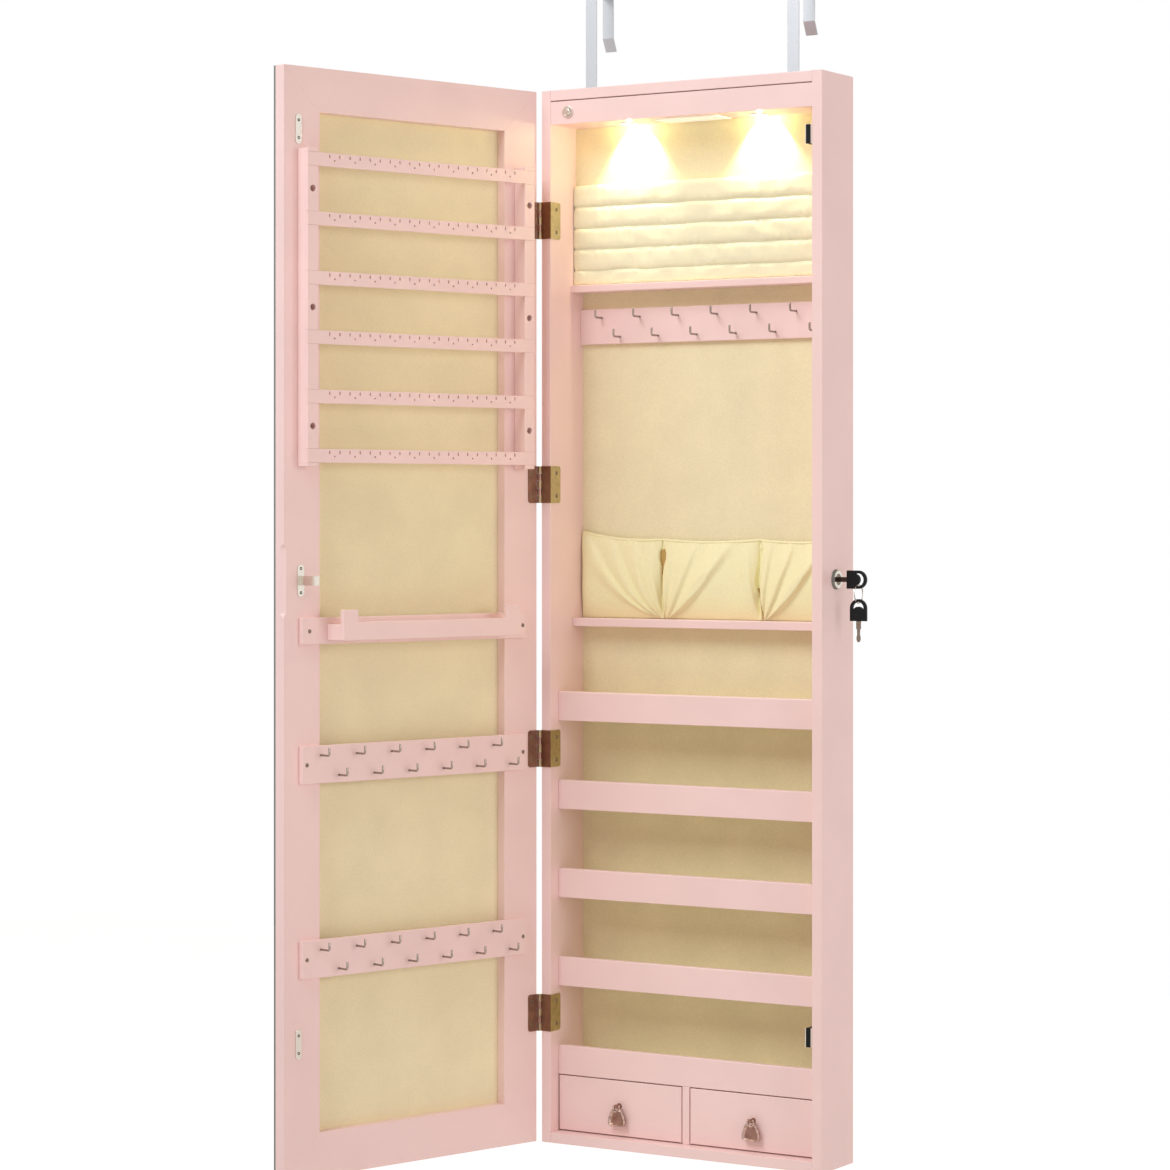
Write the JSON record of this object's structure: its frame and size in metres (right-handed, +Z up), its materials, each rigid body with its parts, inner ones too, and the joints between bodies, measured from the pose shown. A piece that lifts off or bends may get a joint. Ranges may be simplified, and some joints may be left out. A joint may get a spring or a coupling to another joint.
{
  "type": "jewelry mirror cabinet",
  "caption": "Shallow jewelry cabinet hung over a room door, with a full-length mirror door, ring rolls, hooks, bottle racks, drawers and a key lock.",
  "frame": {"origin": "centre of the case's back face, where it meets the wall or the room door", "axes": "+X to the right as seen from the front, +Y back towards the wall, +Z up"},
  "size_m": [0.5221, 0.4664, 1.3216],
  "materials": {
    "pink_lacquer": "satin sprayed lacquer on fibreboard",
    "backing_board": "bare hardboard",
    "cream_cloth": "short-napped cream velvet",
    "ring_cloth": "short-napped cream velvet over padding",
    "pouch_satin": "sateen weave with a soft sheen",
    "tray_board": "thin board covered in pink paper",
    "mirror_glass": "silvered float glass",
    "hook_nickel": "nickel plated wire",
    "antique_brass": "antique brass plate",
    "plated_steel": "bright plated steel",
    "black_plastic": "moulded black",
    "white_plastic": "moulded white",
    "lamp_lens": "frosted clear",
    "cell_jacket": "printed steel jacket, plain",
    "hanger_steel": "pale grey enamel on steel strap"
  },
  "bodies": {
    "case": {"back_lining": "cream_cloth", "back_panel": "backing_board", "battery_box": "white_plastic", "battery_cells": "cell_jacket", "case_bottom": "pink_lacquer", "case_left_side": "pink_lacquer", "case_right_side": "pink_lacquer", "case_top": "pink_lacquer", "catch_bodies": "black_plastic", "catch_plates": "plated_steel", "drawer_divider": "pink_lacquer", "hinge_case_leaves": "antique_brass", "hinge_pins": "antique_brass", "led_housings": "white_plastic", "led_lenses": "lamp_lens", "light_box_floor": "backing_board", "light_fascia": "pink_lacquer", "lock_body": "plated_steel", "necklace_hooks": "hook_nickel", "necklace_pouch": "pouch_satin", "necklace_rail": "pink_lacquer", "over_door_hooks": "hanger_steel", "rack_floors": "cream_cloth", "rack_rails": "pink_lacquer", "ring_pad_board": "cream_cloth", "ring_rolls": "ring_cloth", "shelf_lower": "pink_lacquer", "shelf_upper": "pink_lacquer", "switch_bezel": "plated_steel"},
    "door": {"door_stile_hinge_side": "pink_lacquer", "door_stile_lock_side": "pink_lacquer", "door_rail_top": "pink_lacquer", "door_rail_bottom": "pink_lacquer", "door_lining_panel": "cream_cloth", "mirror": "mirror_glass", "earring_holder_stiles": "pink_lacquer", "earring_slats": "pink_lacquer", "bracelet_board": "pink_lacquer", "bracelet_bar": "pink_lacquer", "door_hook_rails": "pink_lacquer", "door_hooks": "hook_nickel", "door_strikes": "plated_steel", "hinge_door_leaves": "antique_brass"},
    "drawer_left": {"drawer_left_front": "pink_lacquer", "drawer_left_tray": "tray_board", "drawer_left_pull_stud": "antique_brass"},
    "drawer_right": {"drawer_right_front": "pink_lacquer", "drawer_right_tray": "tray_board", "drawer_right_pull_stud": "antique_brass"},
    "pull_left": {"drawer_left_pull": "antique_brass"},
    "pull_right": {"drawer_right_pull": "antique_brass"},
    "key": {"lock_plug": "plated_steel", "lock_cam": "plated_steel", "key_head": "black_plastic", "key_blade": "plated_steel"},
    "ring": {"key_ring": "plated_steel"},
    "spare_key": {"spare_key_head": "black_plastic", "spare_key_blade": "plated_steel"},
    "light_button": {"switch_button": "white_plastic"},
    "battery_lid": {"battery_cover": "white_plastic"}
  },
  "joints": [
    {"name": "door_hinge", "type": "hinge", "parent": "case", "child": "door", "pos_m": [-0.1822, -0.0762, 0], "axis": [0, 0, -1], "range_deg": [-106.7, 73.3]},
    {"name": "drawer_left_slide", "type": "slide", "parent": "case", "child": "drawer_left", "axis": [0, -1, 0], "range_m": [0, 0.038]},
    {"name": "drawer_right_slide", "type": "slide", "parent": "case", "child": "drawer_right", "axis": [0, -1, 0], "range_m": [0, 0.038]},
    {"name": "drawer_left_pull_swing", "type": "hinge", "parent": "drawer_left", "child": "pull_left", "pos_m": [-0.08625, -0.0645, -0.55275], "axis": [-1, 0, 0], "range_deg": [0, 85]},
    {"name": "drawer_right_pull_swing", "type": "hinge", "parent": "drawer_right", "child": "pull_right", "pos_m": [0.08625, -0.0645, -0.55275], "axis": [-1, 0, 0], "range_deg": [0, 85]},
    {"name": "key_turn", "type": "hinge", "parent": "case", "child": "key", "pos_m": [0.18, -0.0415, 0.0455], "axis": [-1, 0, 0], "range_deg": [0, 90]},
    {"name": "key_ring_swing", "type": "hinge", "parent": "key", "child": "ring", "pos_m": [0.2077, -0.0415, 0.0399], "axis": [0, 1, 0], "range_deg": [-12, 12]},
    {"name": "spare_key_swing", "type": "hinge", "parent": "ring", "child": "spare_key", "pos_m": [0.2077, -0.0415, 0.0199], "axis": [0, 1, 0], "range_deg": [-12, 12]},
    {"name": "switch_press", "type": "slide", "parent": "case", "child": "light_button", "axis": [0, 1, 0], "range_m": [0, 0.0015], "stiffness_N_per_m": 200},
    {"name": "battery_cover_swing", "type": "hinge", "parent": "case", "child": "battery_lid", "pos_m": [0.0404, -0.041, 0.561], "axis": [0, -1, 0], "range_deg": [0, 45]}
  ]
}
